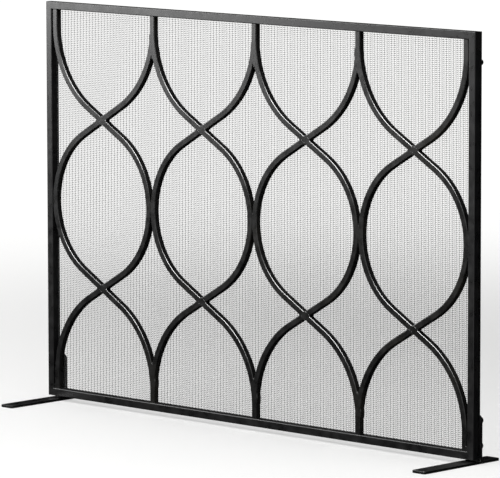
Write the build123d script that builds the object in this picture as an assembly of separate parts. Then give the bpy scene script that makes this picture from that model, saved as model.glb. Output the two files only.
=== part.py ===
from build123d import *
import os
from math import cos, radians, sin

# Fireplace screen: one flat panel on two flat feet.
# X runs along the width, the front looks towards -Y and Z is up. Millimetres.
# The origin is on the floor, at the middle of the width and of the feet's length.

# Frame of square steel tube, mitred and welded at its four corners
FRAME_WIDTH = 1120.0
FRAME_HEIGHT = 784.0
TUBE_SIZE = 15.0
TUBE_WALL = 1.2
TUBE_ROUND = 1.5

# Bent bars of smaller square tube that make the ogee pattern
COLUMNS = 4
BAR_SIZE = 12.0
BAR_WALL = 1.0
BAR_ROUND = 1.5
LENS_RADIUS = 156.0  # of the bends round the lenses
END_RADIUS = 182.0  # of the bends next to the rails
CROSSING_ANGLE = 59.5  # of the straight runs at a crossing, from the vertical
TIP_ANGLE = 4.5  # from the vertical, where a short arm ends against a fork's post
TOP_POST_SHIFT = (6.0, 5.0, -2.0)  # how far each fork's post stands to the right of its boundary
BOTTOM_POST_SHIFT = (3.0, 5.0, 0.0)
EDGE_GAP = 2.5  # from a stile to the outermost bar's upright ends
WELD_GAP = 0.05  # left where two curved bars touch
CROSSING_CUT = 32.0  # to each side of a crossing, how far the through bar cuts the arms

# Wire mesh, held behind the frame by flat strips
MESH_THICKNESS = 1.2
MESH_INSET = 1.5
STRIP_WIDTH = 14.0
STRIP_THICKNESS = 4.0
STRIP_GAP = 0.5  # between the ends of the rail strips and the stile strips

# Feet: a flat bar on the floor with a flat upright welded to it
FOOT_LENGTH = 207.0
FOOT_AHEAD = 131.0  # from the foot's front end to the frame's front face
FOOT_WIDTH = 32.0
FOOT_THICKNESS = 5.0
FOOT_INSET = 1.0  # from the frame's outer side to the foot's outer edge
FOOT_CORNER = 4.0
FRAME_LIFT = 4.0  # from the foot's top to the frame's underside
UPRIGHT_WIDTH = 25.0
UPRIGHT_THICKNESS = 5.0
UPRIGHT_ABOVE = 81.0  # above the frame's underside
UPRIGHT_CORNER = 9.0

# Bolts, washers, nuts and screws
BOLT_RADIUS = 3.0
BOLT_HEAD_RADIUS = 6.5
BOLT_HEAD_HEIGHT = 4.6
CAP_RADIUS = 6.0  # of the upper bolts' tall domed heads
CAP_HEIGHT = 8.0
BOLT_REACH = 8.0  # past the tube's rear face
WASHER_RADIUS = 7.0
WASHER_THICKNESS = 1.2
SPACER_THICKNESS = 2.0
NUT_ACROSS_FLATS = 10.0
NUT_THICKNESS = 5.0
HOLE_CLEARANCE = 0.25
FOOT_BOLT_HEIGHTS = (24.0, 71.0)  # above the frame's underside
UPPER_BOLT_DROP = 57.0  # below the frame's top
SCREW_RADIUS = 2.0
SCREW_HEAD_RADIUS = 4.75
SCREW_HEAD_HEIGHT = 3.2
SCREW_REACH = 5.0
STILE_SCREW_DROP = 347.0  # below the frame's top
RECESS_DEPTH = 1.8

half_width = FRAME_WIDTH / 2
frame_bottom = FOOT_THICKNESS + FRAME_LIFT
frame_top = frame_bottom + FRAME_HEIGHT
front_y = FOOT_AHEAD - FOOT_LENGTH / 2
tube_back = front_y + TUBE_SIZE
mesh_back = tube_back + MESH_THICKNESS
strip_back = mesh_back + STRIP_THICKNESS
upright_front = strip_back + SPACER_THICKNESS
upright_back = upright_front + UPRIGHT_THICKNESS
tube_y = front_y + TUBE_SIZE / 2
stile_x = half_width - TUBE_SIZE / 2
inner_x = half_width - TUBE_SIZE
rail_top = frame_bottom + TUBE_SIZE  # upper face of the bottom rail
rail_under = frame_top - TUBE_SIZE  # lower face of the top rail
middle_z = (frame_bottom + frame_top) / 2
pitch = 2 * inner_x / COLUMNS
contact = BAR_SIZE / 2 + WELD_GAP
foot_x = half_width - FOOT_INSET - FOOT_WIDTH / 2
upright_x = half_width - FOOT_INSET - UPRIGHT_WIDTH / 2
upright_top = frame_bottom + UPRIGHT_ABOVE
lean = radians(CROSSING_ANGLE)
tip_lean = radians(TIP_ANGLE)
SIDES = {"left": -1, "right": 1}


def box_between(low, high):
    """A box from its lowest corner to its highest corner."""
    size = [b - a for a, b in zip(low, high)]
    centre = [(a + b) / 2 for a, b in zip(low, high)]
    return Pos(*centre) * Box(*size)


def rod_y(x, z, y_from, y_to, radius):
    """A cylinder along Y from y_from to y_to."""
    length = abs(y_to - y_from)
    return Pos(x, (y_from + y_to) / 2, z) * Rot(90, 0, 0) * Cylinder(radius, length)


def square_tube(size, wall, rounding, path):
    """A square tube with rounded edges, swept along a path that lies in an XZ plane."""
    start = path @ 0
    plane = Plane(origin=start, x_dir=(0, 1, 0), z_dir=path % 0)
    inner = size - 2 * wall
    outside = sweep(plane * RectangleRounded(size, size, rounding), path=path)
    inside = sweep(plane * RectangleRounded(inner, inner, rounding - wall / 2), path=path)
    return outside - inside


def bolt_places():
    """The X and Z of the six bolts: an upper one and two at the foot on each stile."""
    heights = [frame_top - UPPER_BOLT_DROP] + [frame_bottom + h for h in FOOT_BOLT_HEIGHTS]
    return [(side * stile_x, z) for side in SIDES.values() for z in heights]


def stile_screw_places():
    """The X and Z of the small screw at half height of each stile strip."""
    return [(side * stile_x, frame_top - STILE_SCREW_DROP) for side in SIDES.values()]


def rail_screw_places(z):
    """The X and Z of a rail strip's screws, one at the middle of each column."""
    return [(column_middle(i), z) for i in range(COLUMNS)]


def all_screw_places():
    rails = [frame_bottom + TUBE_SIZE / 2, frame_top - TUBE_SIZE / 2]
    return stile_screw_places() + [place for z in rails for place in rail_screw_places(z)]


def drill(shape, places, radius, y_from, y_to):
    """The shape with a hole along Y at each of the places that it reaches."""
    box = shape.bounding_box()
    for x, z in places:
        if box.min.X < x < box.max.X and box.min.Z < z < box.max.Z:
            shape = shape - rod_y(x, z, y_from, y_to, radius)
    return shape


def frame_tube(start, end, mitre):
    """A frame tube between two points, cut back to the mitre planes at its ends."""
    path = Line(start, end)
    tube = square_tube(TUBE_SIZE, TUBE_WALL, TUBE_ROUND, path) & mitre
    wall = (tube_back - TUBE_SIZE / 2, tube_back + 1)
    tube = drill(tube, bolt_places(), BOLT_RADIUS + HOLE_CLEARANCE, *wall)
    return drill(tube, all_screw_places(), SCREW_RADIUS + HOLE_CLEARANCE, *wall)


def mitre_prism(points):
    """A prism across the frame's depth whose slanted sides are the mitre planes."""
    face = make_face(Polyline(*[(x, 0, z) for x, z in points], close=True))
    return Pos(0, tube_back + 1, 0) * extrude(face, amount=TUBE_SIZE + 2, dir=(0, -1, 0))


def stile(side):
    """A side tube of the frame; the mitre takes its ends along 45 degrees."""
    x = SIDES[side] * half_width
    reach = x - SIDES[side] * FRAME_HEIGHT / 2
    mitre = mitre_prism([(x, frame_bottom), (x, frame_top), (reach, middle_z)])
    line = SIDES[side] * stile_x
    return frame_tube((line, tube_y, frame_bottom), (line, tube_y, frame_top), mitre)


def rail(z, z_line):
    """The top or the bottom tube of the frame."""
    reach = z + (half_width if z < middle_z else -half_width)
    mitre = mitre_prism([(-half_width, z), (half_width, z), (0, reach)])
    return frame_tube((-half_width, tube_y, z_line), (half_width, tube_y, z_line), mitre)


def boundary(i):
    """X of the boundary to the left of column i, counted from 0."""
    return -inner_x + i * pitch


def column_middle(i):
    return boundary(i) + pitch / 2


def straight_run(run, radius):
    """Length of the straight from a crossing to the bend that ends run to one side."""
    return (run - radius * (1 - cos(lean))) / sin(lean)


def quarter(x_cross, z_cross, x_end, up, radius):
    """A bar from a crossing to where it stands upright: its straight run and its last point."""
    sx = 1 if x_end > x_cross else -1
    straight = straight_run(abs(x_end - x_cross), radius)
    rise = straight * cos(lean)
    elbow = (x_cross + sx * straight * sin(lean), z_cross + up * rise)
    end = (x_end, z_cross + up * (rise + radius * sin(lean)))
    return Line(at_bar((x_cross, z_cross)), at_bar(elbow)), end


lens_straight = straight_run(pitch / 2 - contact, LENS_RADIUS)
crossing_rise = lens_straight * cos(lean) + LENS_RADIUS * sin(lean)
upper_z = middle_z + crossing_rise
lower_z = middle_z - crossing_rise


def at_bar(point):
    """A point of the pattern, given as X and Z, on the middle plane of the bars."""
    return (point[0], tube_y, point[1])


def bend(end, sx, up, radius, stop=0.0):
    """The arc from the straight run to end, or to where the bar still leans by stop."""
    angles = (lean, (lean + stop) / 2, stop)
    across = [end[0] - sx * radius * (1 - cos(a)) for a in angles]
    along = [end[1] - up * radius * sin(a) for a in angles]
    return ThreePointArc(*[at_bar(point) for point in zip(across, along)])


def end_part(x_cross, x_end, up, whole=True):
    """A bar's path from a crossing out to the rail, or only to its tip against a post."""
    z_cross = upper_z if up > 0 else lower_z
    rail_face = rail_under if up > 0 else rail_top
    sx = 1 if x_end > x_cross else -1
    straight, end = quarter(x_cross, z_cross, x_end, up, END_RADIUS)
    if not whole:
        return [straight, bend(end, sx, up, END_RADIUS, tip_lean)]
    upright = Line(at_bar(end), at_bar((x_end, rail_face)))
    return [straight, bend(end, sx, up, END_RADIUS), upright]


def bow_part(x_cross, side):
    """A bar's path between the two crossings, round one side of the lens."""
    x_side = x_cross + side * (pitch / 2 - contact)
    top, top_end = quarter(x_cross, upper_z, x_side, -1, LENS_RADIUS)
    low, low_end = quarter(x_cross, lower_z, x_side, 1, LENS_RADIUS)
    return [top, bend(top_end, side, -1, LENS_RADIUS), bend(low_end, side, 1, LENS_RADIUS), low]


def bar(edges):
    """A bent bar of square tube along a chain of edges."""
    return square_tube(BAR_SIZE, BAR_WALL, BAR_ROUND, Wire(edges))


def bar_cutter(edges):
    """A block as wide as a bar, and deeper, that cuts square the end of what is welded to it."""
    path = Wire(edges)
    plane = Plane(origin=path @ 0, x_dir=(0, 1, 0), z_dir=path % 0)
    return sweep(plane * Rectangle(BAR_SIZE + 4, BAR_SIZE), path=path)


def end_x(i, up, side):
    """X of a bar's outer end in column i: beside a stile, or at a fork's post."""
    k = i + (1 if side > 0 else 0)
    if k == 0:
        return -inner_x + EDGE_GAP + BAR_SIZE / 2
    if k == COLUMNS:
        return inner_x - EDGE_GAP - BAR_SIZE / 2
    shifts = TOP_POST_SHIFT if up > 0 else BOTTOM_POST_SHIFT
    return boundary(k) + shifts[k - 1]


def through_bar(i, up):
    """The path of a long bar: one end, straight through a crossing, round the lens to the other.

    The bar with its end at the top starts at the left, and the one at the bottom at the right.
    """
    x = column_middle(i)
    side = -1 if up > 0 else 1
    outer = end_part(x, end_x(i, up, side), up)
    bow = bow_part(x, -side)
    return outer, (bow if up > 0 else bow[::-1])


def long_bar(i, up):
    """A long bar, stopped against the other long bar at the far crossing."""
    outer, bow = through_bar(i, up)
    shape = bar(outer + bow) - bar_cutter(crossing_edges(i, -up))
    return max(shape.solids(), key=lambda s: s.volume)


def crossing_edges(i, up):
    """The straight stretch of the long bar that runs through a crossing."""
    x = column_middle(i)
    z = upper_z if up > 0 else lower_z
    dx, dz = CROSSING_CUT * sin(lean), CROSSING_CUT * cos(lean)
    return [Line(at_bar((x - dx, z + dz)), at_bar((x + dx, z - dz)))]


def short_bar(i, up):
    """A short arm from a crossing to the rail, or to the neighbouring column's long bar."""
    side = 1 if up > 0 else -1
    k = i + side
    forked = 0 <= k < COLUMNS
    edges = end_part(column_middle(i), end_x(i, up, side), up, whole=not forked)
    shape = bar(edges) - bar_cutter(crossing_edges(i, up))
    if forked:
        shape = shape - bar_cutter(end_part(column_middle(k), end_x(k, up, -side), up))
    return max(shape.solids(), key=lambda s: s.volume)


def mesh_panel():
    """The sheet of woven wire between the frame and the strips."""
    low = (-half_width + MESH_INSET, tube_back, frame_bottom + MESH_INSET)
    high = (half_width - MESH_INSET, mesh_back, frame_top - MESH_INSET)
    sheet = box_between(low, high)
    sheet = drill(sheet, bolt_places(), BOLT_RADIUS + HOLE_CLEARANCE, tube_back - 1, mesh_back + 1)
    return drill(sheet, all_screw_places(), SCREW_RADIUS + HOLE_CLEARANCE, tube_back - 1, mesh_back + 1)


def strip(low_x, high_x, low_z, high_z):
    """A flat strip that clamps an edge of the mesh, with its holes and eased rear edges."""
    shape = box_between((low_x, mesh_back, low_z), (high_x, strip_back, high_z))
    shape = fillet(shape.edges().group_by(Axis.Y)[-1], 0.6)
    through = (mesh_back - 1, strip_back + 1)
    shape = drill(shape, bolt_places(), BOLT_RADIUS + HOLE_CLEARANCE, *through)
    return drill(shape, all_screw_places(), SCREW_RADIUS + HOLE_CLEARANCE, *through)


def stile_strip(side):
    middle = SIDES[side] * stile_x
    inset = (TUBE_SIZE - STRIP_WIDTH) / 2
    half = STRIP_WIDTH / 2
    return strip(middle - half, middle + half, frame_bottom + inset, frame_top - inset)


def rail_strip(z):
    reach = stile_x - STRIP_WIDTH / 2 - STRIP_GAP
    half = STRIP_WIDTH / 2
    return strip(-reach, reach, z - half, z + half)


def foot_bar(side):
    """The flat bar that lies on the floor."""
    middle = SIDES[side] * foot_x
    half = FOOT_WIDTH / 2
    low = (middle - half, -FOOT_LENGTH / 2, 0)
    high = (middle + half, FOOT_LENGTH / 2, FOOT_THICKNESS)
    shape = box_between(low, high)
    shape = fillet(shape.edges().filter_by(Axis.Z), FOOT_CORNER)
    return fillet(shape.faces().sort_by(Axis.Z)[-1].edges(), 0.8)


def foot_upright(side):
    """The flat upright that is welded to the foot and bolted to the back of the stile."""
    middle = SIDES[side] * upright_x
    half = UPRIGHT_WIDTH / 2
    low = (middle - half, upright_front, FOOT_THICKNESS)
    high = (middle + half, upright_back, upright_top)
    shape = box_between(low, high)
    top_corners = shape.edges().filter_by(Axis.Y).group_by(Axis.Z)[-1]
    shape = fillet(top_corners, UPRIGHT_CORNER)
    through = (upright_front - 1, upright_back + 1)
    return drill(shape, bolt_places(), BOLT_RADIUS + HOLE_CLEARANCE, *through)


def foot_bolt_places():
    return [(x, z) for x, z in bolt_places() if z < upright_top]


def upper_bolt_places():
    return [(x, z) for x, z in bolt_places() if z > upright_top]


def ring(x, z, y_from, thickness, radius):
    """A washer, lying against the face at y_from."""
    disc = rod_y(x, z, y_from, y_from + thickness, radius)
    return disc - rod_y(x, z, y_from - 1, y_from + thickness + 1, BOLT_RADIUS + HOLE_CLEARANCE)


def domed_head(x, z, seat, radius, height):
    """A round head: a slice of a sphere on a short rim, with a hexagonal recess."""
    rim = height * 0.3
    dome = height - rim
    sphere_radius = (radius**2 + dome**2) / (2 * dome)
    ball = Pos(x, seat + height - sphere_radius, z) * Sphere(sphere_radius)
    cap = ball & rod_y(x, z, seat + rim, seat + height + 1, radius)
    head = cap + rod_y(x, z, seat, seat + rim, radius)
    recess = extrude(RegularPolygon(radius * 0.36, 6), amount=RECESS_DEPTH + 1)
    return head - Pos(x, seat + height + 1, z) * Rot(90, 0, 0) * recess


def bolt(x, z, seat, radius=BOLT_HEAD_RADIUS, height=BOLT_HEAD_HEIGHT):
    """A machine bolt whose head sits on the face at seat."""
    shank = rod_y(x, z, tube_back - BOLT_REACH, seat, BOLT_RADIUS)
    return domed_head(x, z, seat, radius, height) + shank


def screw(x, z):
    """A small screw that holds a strip to the frame."""
    shank = rod_y(x, z, tube_back - SCREW_REACH, strip_back, SCREW_RADIUS)
    return domed_head(x, z, strip_back, SCREW_HEAD_RADIUS, SCREW_HEAD_HEIGHT) + shank


def weld_nut(x, z):
    """A hexagonal nut welded inside the stile, behind a bolt hole."""
    seat = tube_back - TUBE_WALL
    across_corners = NUT_ACROSS_FLATS / cos(radians(30))
    block = extrude(RegularPolygon(across_corners / 2, 6, rotation=30), amount=NUT_THICKNESS)
    block = Pos(x, seat, z) * Rot(90, 0, 0) * block
    return block - rod_y(x, z, seat - NUT_THICKNESS - 1, seat + 1, BOLT_RADIUS + 0.05)


def write(node, *shapes):
    """One STEP file for a node; several shapes make a group of separate solids."""
    shape = shapes[0] if len(shapes) == 1 else Compound(children=[s for s in shapes])
    export_step(shape, f"parts/{node}.step")


def main():
    os.makedirs("parts", exist_ok=True)
    low_line = frame_bottom + TUBE_SIZE / 2
    top_line = frame_top - TUBE_SIZE / 2
    write("top_rail", rail(frame_top, top_line))
    write("bottom_rail", rail(frame_bottom, low_line))
    write("top_mesh_strip", rail_strip(top_line))
    write("bottom_mesh_strip", rail_strip(low_line))
    for side in SIDES:
        write(f"{side}_stile", stile(side))
        write(f"{side}_mesh_strip", stile_strip(side))
        write(f"{side}_foot_bar", foot_bar(side))
        write(f"{side}_foot_upright", foot_upright(side))
    for i in range(COLUMNS):
        write(f"upper_long_bar_{i + 1}", long_bar(i, 1))
        write(f"lower_long_bar_{i + 1}", long_bar(i, -1))
        write(f"upper_short_bar_{i + 1}", short_bar(i, 1))
        write(f"lower_short_bar_{i + 1}", short_bar(i, -1))
    write("wire_mesh", mesh_panel())
    foot_seat = upright_back + WASHER_THICKNESS
    upper_seat = strip_back + WASHER_THICKNESS
    feet = foot_bolt_places()
    upper = upper_bolt_places()
    write("foot_bolts", *[bolt(x, z, foot_seat) for x, z in feet])
    write("foot_washers", *[ring(x, z, upright_back, WASHER_THICKNESS, WASHER_RADIUS) for x, z in feet])
    write("foot_spacers", *[ring(x, z, strip_back, SPACER_THICKNESS, WASHER_RADIUS) for x, z in feet])
    write("upper_bolts", *[bolt(x, z, upper_seat, CAP_RADIUS, CAP_HEIGHT) for x, z in upper])
    write("upper_washers", *[ring(x, z, strip_back, WASHER_THICKNESS, WASHER_RADIUS) for x, z in upper])
    write("weld_nuts", *[weld_nut(x, z) for x, z in bolt_places()])
    write("strip_screws", *[screw(x, z) for x, z in all_screw_places()])


main()
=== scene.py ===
from math import atan2, cos, radians, sin, sqrt, tan

import bmesh
import bpy
from mathutils import Euler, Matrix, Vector


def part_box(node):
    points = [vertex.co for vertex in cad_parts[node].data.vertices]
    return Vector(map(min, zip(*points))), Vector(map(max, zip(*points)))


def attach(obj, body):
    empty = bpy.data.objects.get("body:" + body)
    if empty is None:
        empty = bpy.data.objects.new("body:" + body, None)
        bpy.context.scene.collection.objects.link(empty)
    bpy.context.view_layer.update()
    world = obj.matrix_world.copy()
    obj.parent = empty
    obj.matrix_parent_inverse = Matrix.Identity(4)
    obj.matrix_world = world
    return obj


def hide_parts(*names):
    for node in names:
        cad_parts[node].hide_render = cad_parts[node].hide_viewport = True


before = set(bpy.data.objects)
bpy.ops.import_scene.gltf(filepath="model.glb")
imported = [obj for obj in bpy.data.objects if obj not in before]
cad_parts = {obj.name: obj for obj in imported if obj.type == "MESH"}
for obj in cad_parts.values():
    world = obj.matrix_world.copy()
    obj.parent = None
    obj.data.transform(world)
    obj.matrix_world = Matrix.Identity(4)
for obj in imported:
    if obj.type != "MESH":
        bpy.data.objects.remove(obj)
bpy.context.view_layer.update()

MM = 0.001
scene = bpy.context.scene
node_objects = {name: bpy.data.objects[name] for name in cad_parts}


# ---------------------------------------------------------------- colours and nodes

def linear(hex_colour):
    """A colour written as sRGB hex, in the linear light that shaders use."""
    channels = [int(hex_colour[i:i + 2], 16) / 255 for i in (1, 3, 5)]
    return tuple(c / 12.92 if c <= 0.04045 else ((c + 0.055) / 1.055) ** 2.4 for c in channels) + (1.0,)


def add_node(tree, kind, settings=None, **links):
    """One node, with its settings, and its inputs set or linked by name, or by number as i0, i6."""
    node = tree.nodes.new(kind)
    for name, value in (settings or {}).items():
        setattr(node, name, value)
    for name, value in links.items():
        by_number = name[0] == "i" and name[1:].isdigit()
        socket = node.inputs[int(name[1:]) if by_number else name.replace("_", " ")]
        if isinstance(value, bpy.types.NodeSocket):
            tree.links.new(value, socket)
        else:
            socket.default_value = value
    return node


def new_material(name):
    """An empty material with its shader and output, and the object's own coordinates."""
    material = bpy.data.materials.new(name)
    material.use_nodes = True
    tree = material.node_tree
    tree.nodes.clear()
    shader = add_node(tree, "ShaderNodeBsdfPrincipled")
    output = add_node(tree, "ShaderNodeOutputMaterial")
    tree.links.new(shader.outputs["BSDF"], output.inputs["Surface"])
    place = add_node(tree, "ShaderNodeTexCoord").outputs["Object"]
    return material, tree, shader, place


def powder_coat(name, face, edge, warm, rough_low, rough_high, warm_share):
    """Black powder coat baked on steel: satin, with a fine orange peel that softens what it
    mirrors, a little more gloss where it flowed thin, and thinner, paler coat on the edges."""
    material, tree, shader, place = new_material(name)
    cloud = add_node(tree, "ShaderNodeTexNoise", Vector=place, Scale=9.0, Detail=3.0, Roughness=0.55)
    patch = add_node(tree, "ShaderNodeMapRange", Value=cloud.outputs["Fac"],
                     i1=0.50, i2=0.72, i3=0.0, i4=warm_share)
    tint = add_node(tree, "ShaderNodeMix", {"data_type": "RGBA"}, i0=patch.outputs["Result"],
                    i6=linear(face), i7=linear(warm))
    # thinner coat on corners, within about 0.6 mm of the edge
    rim = add_node(tree, "ShaderNodeBevel", {"samples": 4}, Radius=0.6 * MM)
    flat = add_node(tree, "ShaderNodeNewGeometry")
    bent = add_node(tree, "ShaderNodeVectorMath", {"operation": "DOT_PRODUCT"}, i0=rim.outputs["Normal"],
                    i1=flat.outputs["Normal"])
    corner = add_node(tree, "ShaderNodeMapRange", Value=bent.outputs["Value"],
                      i1=0.98, i2=0.80, i3=0.0, i4=0.6)
    colour = add_node(tree, "ShaderNodeMix", {"data_type": "RGBA"}, i0=corner.outputs["Result"],
                      i6=tint.outputs[2], i7=linear(edge))
    tree.links.new(colour.outputs[2], shader.inputs["Base Color"])
    # grain of the powder, about 1.5 mm across
    peel = add_node(tree, "ShaderNodeTexNoise", Vector=place, Scale=650.0, Detail=1.5, Roughness=0.5)
    sag = add_node(tree, "ShaderNodeTexNoise", Vector=place, Scale=60.0, Detail=2.0, Roughness=0.5)
    rough = add_node(tree, "ShaderNodeMapRange", Value=sag.outputs["Fac"],
                     i1=0.3, i2=0.7, i3=rough_low, i4=rough_high)
    tree.links.new(rough.outputs["Result"], shader.inputs["Roughness"])
    bump = add_node(tree, "ShaderNodeBump", Strength=0.07, Distance=0.25 * MM, Height=peel.outputs["Fac"])
    tree.links.new(bump.outputs["Normal"], shader.inputs["Normal"])
    shader.inputs["IOR"].default_value = 1.5
    shader.inputs["Specular IOR Level"].default_value = 0.4
    return material


frame_coat = powder_coat("Satin black powder coat", face="#050506", edge="#1a1a1b", warm="#12110f",
                         rough_low=0.26, rough_high=0.36, warm_share=0.5)
bar_coat = powder_coat("Satin black powder coat on bent bars", face="#060606", edge="#20201f",
                       warm="#1b1914", rough_low=0.24, rough_high=0.34, warm_share=0.8)


def painted_wire():
    """Woven steel wire under black paint: dull, and a touch paler than the tubes."""
    material, tree, shader, place = new_material("Black painted woven wire")
    cloud = add_node(tree, "ShaderNodeTexNoise", Vector=place, Scale=25.0, Detail=3.0)
    tint = add_node(tree, "ShaderNodeMix", {"data_type": "RGBA"}, i0=cloud.outputs["Fac"],
                    i6=linear("#121212"), i7=linear("#1e1d1c"))
    tree.links.new(tint.outputs[2], shader.inputs["Base Color"])
    shader.inputs["Roughness"].default_value = 0.5
    shader.inputs["Specular IOR Level"].default_value = 0.4
    return material


wire_paint = painted_wire()


def black_oxide():
    """Black oxide on steel fasteners: a thin dark conversion layer, still metallic, rubbed on the tops."""
    material, tree, shader, place = new_material("Black oxide steel")
    cloud = add_node(tree, "ShaderNodeTexNoise", Vector=place, Scale=400.0, Detail=3.0)
    tint = add_node(tree, "ShaderNodeMix", {"data_type": "RGBA"}, i0=cloud.outputs["Fac"],
                    i6=linear("#161617"), i7=linear("#2b2b2c"))
    tree.links.new(tint.outputs[2], shader.inputs["Base Color"])
    rough = add_node(tree, "ShaderNodeMapRange", Value=cloud.outputs["Fac"],
                     i1=0.3, i2=0.7, i3=0.32, i4=0.5)
    tree.links.new(rough.outputs["Result"], shader.inputs["Roughness"])
    shader.inputs["Metallic"].default_value = 0.6
    return material


fastener_finish = black_oxide()


# ---------------------------------------------------------------- modelling by hand

def begin(add, **settings):
    """A new primitive, with nothing else selected, in edit mode."""
    bpy.ops.object.select_all(action="DESELECT")
    add(**settings)
    bpy.ops.object.mode_set(mode="EDIT")
    return bpy.context.object


def pick(piece, kind, test):
    """In edit mode, selects only the verts, edges or faces whose middle passes the test."""
    bpy.ops.mesh.select_all(action="DESELECT")
    bpy.ops.mesh.select_mode(type=kind)
    mesh = bmesh.from_edit_mesh(piece.data)
    parts = {"VERT": mesh.verts, "EDGE": mesh.edges, "FACE": mesh.faces}[kind]
    to_scene = piece.matrix_world
    for part in parts:
        corners = [part] if kind == "VERT" else part.verts
        middle = sum((to_scene @ v.co for v in corners), Vector()) / len(corners)
        part.select_set(bool(test(middle)))
    mesh.select_flush_mode()
    bmesh.update_edit_mesh(piece.data)


def finish_piece(piece, name, material):
    """Applies what is left, leaves the piece at the origin, and lets it ride on the panel."""
    if bpy.context.mode != "OBJECT":
        bpy.ops.object.mode_set(mode="OBJECT")
    bpy.ops.object.select_all(action="DESELECT")
    piece.select_set(True)
    bpy.context.view_layer.objects.active = piece
    for modifier in list(piece.modifiers):
        bpy.ops.object.modifier_apply(modifier=modifier.name)
    bpy.ops.object.transform_apply(location=True, rotation=True, scale=True)
    piece.name = piece.data.name = name
    piece.data.materials.clear()
    piece.data.materials.append(material)
    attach(piece, "root")
    return piece


def repeat(piece, count, step, merge):
    """Copies the piece along a line and keeps the result; neighbours join where merge is set."""
    if bpy.context.mode != "OBJECT":
        bpy.ops.object.mode_set(mode="OBJECT")
    rows = piece.modifiers.new("rows", "ARRAY")
    rows.use_relative_offset = False
    rows.use_constant_offset = True
    rows.constant_offset_displace = step
    rows.count = count
    rows.use_merge_vertices = merge
    rows.merge_threshold = 0.02 * MM
    bpy.ops.object.modifier_apply(modifier=rows.name)


# ---------------------------------------------------------------- woven wire

LEVEL_SPACING = 3.63 * MM  # seven level wires to the inch
UPRIGHT_SPACING = 4.23 * MM  # and six upright ones
LEVEL_WIRE = 0.50 * MM  # from a wire's middle line to the corners of its four-sided section
UPRIGHT_WIRE = 0.30 * MM

sheet_low, sheet_high = [Vector(corner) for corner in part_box("wire_mesh")]
sheet_middle = (sheet_low + sheet_high) / 2
crossings_x = 2 * round((sheet_high.x - sheet_low.x) / UPRIGHT_SPACING / 2)
crossings_z = 2 * round((sheet_high.z - sheet_low.z) / LEVEL_SPACING / 2)
step_x = (sheet_high.x - sheet_low.x) / crossings_x
step_z = (sheet_high.z - sheet_low.z) / crossings_z
wave = (sheet_high.y - sheet_low.y) / 2 - LEVEL_WIRE * cos(radians(22.5))


def woven_wires(name, upright, first, count, over):
    """Parallel wires of the weave, every second one, each bent over and under the wires it crosses.

    first is the number of the first wire from the sheet's edge, and over is +1 or -1, for the side
    on which it starts.
    """
    step, other = (step_z, step_x) if upright else (step_x, step_z)
    crossings, corner = (crossings_z, UPRIGHT_WIRE) if upright else (crossings_x, LEVEL_WIRE)
    start = sheet_low.copy()
    start.y = sheet_middle.y
    if upright:
        start.x += first * other
        along, turn = Vector((0, 0, 1)), (0, 0, radians(22.5))
    else:
        start.z += first * other
        along, turn = Vector((1, 0, 0)), (radians(22.5), radians(90), 0)
    piece = begin(bpy.ops.mesh.primitive_cylinder_add, vertices=4, radius=corner, depth=2 * step,
                  end_fill_type="NOTHING", location=start + along * step, rotation=turn)
    bpy.ops.object.mode_set(mode="OBJECT")
    bpy.ops.object.transform_apply(location=True, rotation=True, scale=True)
    bpy.ops.object.mode_set(mode="EDIT")
    bpy.ops.mesh.select_all(action="SELECT")
    bpy.ops.mesh.bisect(plane_co=start + along * step, plane_no=along)
    level = (start + along * step).dot(along)
    pick(piece, "VERT", lambda p: abs(p.dot(along) - level) < step / 2)
    bpy.ops.transform.translate(value=(0, -over * wave, 0))
    pick(piece, "VERT", lambda p: abs(p.dot(along) - level) > step / 2)
    bpy.ops.transform.translate(value=(0, over * wave, 0))
    repeat(piece, crossings // 2, along * 2 * step, True)
    bpy.ops.object.mode_set(mode="EDIT")
    bpy.ops.mesh.select_all(action="SELECT")
    bpy.ops.mesh.fill_holes(sides=4)
    across = Vector((1, 0, 0)) if upright else Vector((0, 0, 1))
    repeat(piece, count, across * 2 * other, False)
    bpy.ops.object.shade_smooth()
    return finish_piece(piece, name, wire_paint)


def weave():
    """All the wires of the cloth, in eight pieces: every second wire of each half, both ways."""
    pieces = []
    directions = ((False, crossings_z, "level_wires"), (True, crossings_x, "upright_wires"))
    for upright, crossings, label in directions:
        half = crossings // 4 * 2
        number = 0
        for parity in (1, 2):
            for low, high in ((parity, half), (half + parity % 2, crossings)):
                number += 1
                count = len(range(low, high, 2))
                over = (1 if parity == 1 else -1) * (1 if upright else -1)
                pieces.append(woven_wires(f"{label}_{number}", upright, low, count, over))
    return pieces


cloth = weave()
for piece in cloth:
    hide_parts("wire_mesh")

# ---------------------------------------------------------------- finishes of the frame's parts

for name, thing in node_objects.items():
    if any(word in name for word in ("bolts", "washers", "spacers", "nuts", "screws")):
        finish = fastener_finish
    elif "bar" in name and "foot" not in name:
        finish = bar_coat
    else:
        finish = frame_coat
    for slot in thing.material_slots:
        slot.material = finish

# ---------------------------------------------------------------- welds

# the pattern's own sizes, as the bars are bent
LENS_RADIUS, END_RADIUS = 156 * MM, 182 * MM
BAR_SIZE = 12 * MM
CONTACT = 6.05 * MM  # from a column's boundary to the middle of the bar that bows out to it
LEAN = radians(59.5)  # of the bars at a crossing, from the vertical
TOP_POSTS, BOTTOM_POSTS = (6, 5, -2), (3, 5, 0)  # millimetres that each post stands right of its boundary
COLUMNS = 4

# seams between bars, ground flush
SEAM_DEPTH = 2.4 * MM
SEAM_LIFT = 0.03 * MM  # how far a seam's land stands in front of the bars' faces
CONTACT_SINK = 1.1 * MM  # how far the land between two lenses lies behind them
CROSSING_SEAM_LENGTH, CROSSING_SEAM_WIDTH = 16 * MM, 4.4 * MM
CONTACT_SEAM_LENGTH, CONTACT_SEAM_WIDTH = 30 * MM, 1.6 * MM
FORK_SEAM_WIDTH = 5 * MM
FORK_SEAM_LEANS = radians(16), radians(2)  # of the long bar at the seam's two ends

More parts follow.
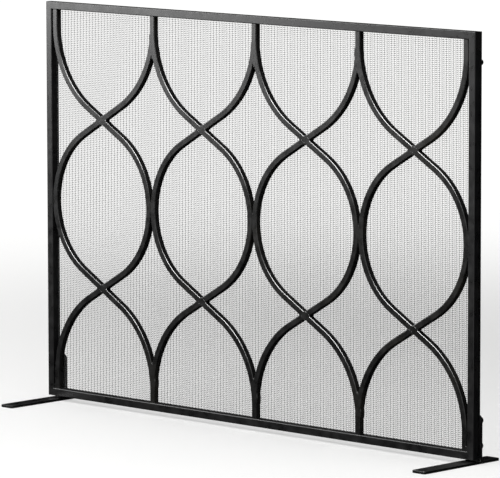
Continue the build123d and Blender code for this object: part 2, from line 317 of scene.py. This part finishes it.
# welds left as they were laid
CORNER_FILL_HEIGHT = 9 * MM
CORNER_FILL_OVERLAP = 1.6 * MM  # into the bar and into the stile
FOOT_BEAD = 6.4 * MM

stile_face, far_stile_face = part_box("left_stile")[1][0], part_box("right_stile")[0][0]
rail_top, rail_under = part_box("bottom_rail")[1][2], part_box("top_rail")[0][2]
bar_front, bar_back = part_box("upper_long_bar_1")[0][1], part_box("upper_long_bar_1")[1][1]
panel_middle = (rail_top + rail_under) / 2
pitch = (far_stile_face - stile_face) / COLUMNS
lens_run = pitch / 2 - CONTACT
crossing_rise = (lens_run - LENS_RADIUS * (1 - cos(LEAN))) / tan(LEAN) + LENS_RADIUS * sin(LEAN)
through_way = Vector((sin(LEAN), 0, -cos(LEAN)))  # of the bar that runs through a crossing


def foot_bead(name, middle, length, ripples=14):
    """An unground bead across an upright's foot: rippled, and narrower towards both ends."""
    along, middle = Vector((1, 0, 0)), Vector(middle)
    piece = begin(bpy.ops.mesh.primitive_cylinder_add, vertices=16, radius=0.5, depth=1, location=middle,
                  rotation=(0, radians(90), 0), scale=(FOOT_BEAD, FOOT_BEAD, length))
    bpy.ops.object.mode_set(mode="OBJECT")
    bpy.ops.object.transform_apply(location=True, rotation=True, scale=True)
    bpy.ops.object.mode_set(mode="EDIT")
    for k in range(1, ripples):
        bpy.ops.mesh.select_all(action="SELECT")
        bpy.ops.mesh.bisect(plane_co=middle + along * length * (k / ripples - 0.5), plane_no=along)
    for k in range(ripples + 1):
        place = k / ripples - 0.5
        ring = middle + along * length * place
        taper = sqrt(max(1 - (2 * place) ** 4, 0.12)) * (0.93 if k % 2 else 1.0)
        pick(piece, "VERT", lambda p: abs(p.x - ring.x) < length / ripples / 4)
        bpy.ops.transform.resize(value=(taper, taper, taper), center_override=ring)
    bpy.ops.object.mode_set(mode="OBJECT")
    bpy.ops.object.shade_smooth_by_angle(angle=radians(50))
    return finish_piece(piece, name, frame_coat)


def ground_seam(name, x, z, along, length, width, count=1, lift=SEAM_LIFT):
    """A seam between bars ground flush: a flat land in the bars' front plane and one in their back
    plane, both with flanks that run down into the bars. Count is how many columns have it."""
    piece = begin(bpy.ops.mesh.primitive_cube_add, size=1, scale=(width, SEAM_DEPTH, length))
    bpy.ops.object.mode_set(mode="OBJECT")
    bpy.ops.object.transform_apply(location=True, rotation=True, scale=True)
    bpy.ops.object.mode_set(mode="EDIT")
    bpy.ops.mesh.select_all(action="SELECT")
    bpy.ops.mesh.subdivide(number_cuts=3)
    # narrow ends
    pick(piece, "VERT", lambda p: abs(p.z) > 0.4 * length)
    bpy.ops.transform.resize(value=(0.3, 1, 1), center_override=(0, 0, 0))
    # flanks, widest at mid depth
    pick(piece, "VERT", lambda p: abs(p.y) < SEAM_DEPTH / 8)
    bpy.ops.transform.resize(value=(1.7, 1, 1.1), center_override=(0, 0, 0))
    pick(piece, "VERT", lambda p: SEAM_DEPTH / 8 < abs(p.y) < SEAM_DEPTH * 3 / 8)
    bpy.ops.transform.resize(value=(1.4, 1, 1.05), center_override=(0, 0, 0))
    bpy.ops.object.mode_set(mode="OBJECT")
    piece.rotation_euler = (0, atan2(along[0], along[2]), 0)
    piece.location = (x, bar_front + SEAM_DEPTH / 2 - lift, z)
    bpy.ops.object.transform_apply(location=True, rotation=True, scale=True)
    repeat(piece, 2, (0, bar_back - bar_front - SEAM_DEPTH + 2 * lift, 0), False)
    if count > 1:
        repeat(piece, count, (pitch, 0, 0), False)
    return finish_piece(piece, name, bar_coat)


for label, height in (("upper", panel_middle + crossing_rise), ("lower", panel_middle - crossing_rise)):
    for side, word in ((1, "right"), (-1, "left")):
        # to the middle of the arm's end, on the through bar's edge
        reach = side * BAR_SIZE / 2 / sin(2 * LEAN)
        ground_seam(f"{label}_crossing_weld_{word}", stile_face + pitch / 2 + reach * sin(LEAN),
                    height + reach * cos(LEAN), through_way, CROSSING_SEAM_LENGTH, CROSSING_SEAM_WIDTH,
                    count=COLUMNS)

ground_seam("lens_contact_weld", stile_face + pitch, panel_middle, (0, 0, 1), CONTACT_SEAM_LENGTH,
            CONTACT_SEAM_WIDTH, count=COLUMNS - 1, lift=-CONTACT_SINK)


def fork_weld(k, up):
    """The seam where a short arm runs into the post of the neighbouring column's long bar."""
    shift = (TOP_POSTS if up > 0 else BOTTOM_POSTS)[k - 1] * MM
    post = stile_face + k * pitch + shift
    run = pitch / 2 - up * shift
    straight = (run - END_RADIUS * (1 - cos(LEAN))) / sin(LEAN)
    end = panel_middle + up * (crossing_rise + straight * cos(LEAN) + END_RADIUS * sin(LEAN))
    edge = END_RADIUS + BAR_SIZE / 2
    low, high = [Vector((post + up * (END_RADIUS - edge * cos(a)), 0, end - up * edge * sin(a)))
                 for a in FORK_SEAM_LEANS]
    middle = (low + high) / 2
    label = "top" if up > 0 else "bottom"
    ground_seam(f"{label}_fork_weld_{k}", middle.x, middle.z, high - low, (high - low).length,
                FORK_SEAM_WIDTH)


for k in range(1, COLUMNS):
    fork_weld(k, 1)
    fork_weld(k, -1)


def corner_fill():
    """Weld run into the gaps between the stiles and the outermost bars' ends, at the bottom rail."""
    gap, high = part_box("upper_long_bar_1")[0][0] - stile_face, CORNER_FILL_HEIGHT
    deep = bar_back - bar_front
    piece = begin(bpy.ops.mesh.primitive_cube_add, size=1,
                  location=(stile_face + gap / 2, (bar_front + bar_back) / 2, rail_top + high / 2),
                  scale=(gap + 2 * CORNER_FILL_OVERLAP, deep - 0.5 * MM, high + 0.6 * MM))
    bpy.ops.object.mode_set(mode="OBJECT")
    bpy.ops.object.transform_apply(location=True, rotation=True, scale=True)
    bpy.ops.object.mode_set(mode="EDIT")
    bpy.ops.mesh.select_all(action="SELECT")
    bpy.ops.mesh.subdivide(number_cuts=3)
    # the free edge sags between the bar and the stile
    top, middle = rail_top + high * 0.9, stile_face + gap / 2
    pick(piece, "VERT", lambda p: p.z > top and abs(p.x - middle) < gap * 0.4)
    bpy.ops.transform.translate(value=(0, 0, -2 * MM))
    pick(piece, "VERT", lambda p: p.z > top)
    bpy.ops.mesh.bevel(offset=0.4 * MM, segments=2)
    bpy.ops.object.mode_set(mode="OBJECT")
    repeat(piece, 2, (far_stile_face - stile_face - gap, 0, 0), False)
    bpy.ops.object.shade_smooth_by_angle(angle=radians(50))
    return finish_piece(piece, "lower_corner_fills", frame_coat)


corner_fill()

for side in ("left", "right"):
    low, high = [Vector(corner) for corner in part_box(f"{side}_foot_upright")]
    for label, y in (("front", low.y), ("rear", high.y)):
        foot_bead(f"{side}_foot_{label}_weld", ((low.x + high.x) / 2, y, low.z), high.x - low.x)

# ---------------------------------------------------------------- studio

SUBJECT = Vector((0.2341, -0.2194, 0.4112))
AZIMUTH, ELEVATION, DISTANCE = radians(43.864), radians(7.095), 8.428
ROLL = radians(-0.072)

camera = bpy.data.objects.new("Camera", bpy.data.cameras.new("Camera"))
scene.collection.objects.link(camera)
toward = Vector((-sin(AZIMUTH) * cos(ELEVATION), cos(AZIMUTH) * cos(ELEVATION), -sin(ELEVATION)))
camera.location = SUBJECT - toward * DISTANCE
camera.rotation_euler = (toward.to_track_quat("-Z", "Y") @ Euler((0, 0, ROLL)).to_quaternion()).to_euler()
camera.data.sensor_fit = "HORIZONTAL"
camera.data.sensor_width = 36.0
camera.data.lens = 332.9
camera.data.clip_end = 200.0
scene.camera = camera

scene.view_settings.view_transform = "Standard"
scene.view_settings.look = "None"


def plain_surface(name, colour, rough):
    """A matt surface of one colour, for what stands round the object."""
    material, tree, shader, place = new_material(name)
    shader.inputs["Base Color"].default_value = linear(colour)
    shader.inputs["Roughness"].default_value = rough
    shader.inputs["Specular IOR Level"].default_value = 0.0
    return material


def card(name, size, location, aim, material):
    """A flat card that faces aim."""
    bpy.ops.object.select_all(action="DESELECT")
    bpy.ops.mesh.primitive_plane_add(size=1)
    thing = bpy.context.object
    thing.name = name
    thing.scale = (size[0], size[1], 1)
    thing.location = location
    thing.rotation_euler = (Vector(aim) - Vector(location)).to_track_quat("Z", "Y").to_euler()
    thing.data.materials.append(material)
    return thing


floor_white = plain_surface("Lit white acrylic floor", "#c8c8c7", 0.9)
floor_shader = floor_white.node_tree.nodes["Principled BSDF"]
floor_shader.inputs["Emission Color"].default_value = (1, 1, 1, 1)
floor_shader.inputs["Emission Strength"].default_value = 0.45
card("Floor", (60, 60), (0, 0, 0), (0, 0, 1), floor_white)


def flag(name, size, location, aim):
    """A black card that only darkens what the steel mirrors."""
    thing = card(name, size, location, aim, plain_surface(name + " cloth", "#050505", 1.0))
    thing.visible_camera = thing.visible_diffuse = thing.visible_shadow = False


flag("Front floor flag", (11, 10), (-4.3, -5.0, 0.0004), (-4.3, -5.0, 1))
flag("Rear floor flag", (11, 10), (4.3, 5.0, 0.0004), (4.3, 5.0, 1))
flag("Rear flag", (16, 8), (-1.0, 3.2, 3.2), (-1.0, 0, 3.2))


def soft_box(name, size, location, aim, brightness, gloss_only=True):
    """A soft box, which either only the steel's gloss picks up or only lights matt surfaces."""
    light = bpy.data.lights.new(name, "AREA")
    light.shape = "RECTANGLE"
    light.size, light.size_y = size
    light.energy = brightness * size[0] * size[1] * 3.1416
    thing = bpy.data.objects.new(name, light)
    scene.collection.objects.link(thing)
    thing.location = location
    thing.rotation_euler = (Vector(aim) - Vector(location)).to_track_quat("-Z", "Y").to_euler()
    if gloss_only:
        thing.visible_diffuse = False
    else:
        thing.visible_glossy = False
        light.spread = radians(70)


# shades the floor behind the screen a little
shade = card("Ceiling card", (3.2, 1.6), (-0.2, 1.35, 1.1), (-0.2, 1.35, 0),
             plain_surface("Black card", "#050505", 1.0))
shade.visible_camera = shade.visible_glossy = False

soft_box("Front left box", (1.3, 1.0), (-2.3, -1.75, 1.05), (-0.2, 0, 0.6), 10)
soft_box("Overhead box", (2.6, 1.4), (0.45, -1.75, 2.9), (0, 0, 0.6), 90)
soft_box("Upper left box", (1.2, 1.2), (-2.6, -0.5, 3.0), (0, 0, 0.6), 8)
soft_box("Front floor wash", (5.0, 2.4), (0.6, -1.9, 1.7), (0.6, -1.9, 0), 0.2, gloss_only=False)

world = bpy.data.worlds.new("Studio air")
world.use_nodes = True
world.node_tree.nodes["Background"].inputs["Color"].default_value = (1, 1, 1, 1)
world.node_tree.nodes["Background"].inputs["Strength"].default_value = 1.06
scene.world = world
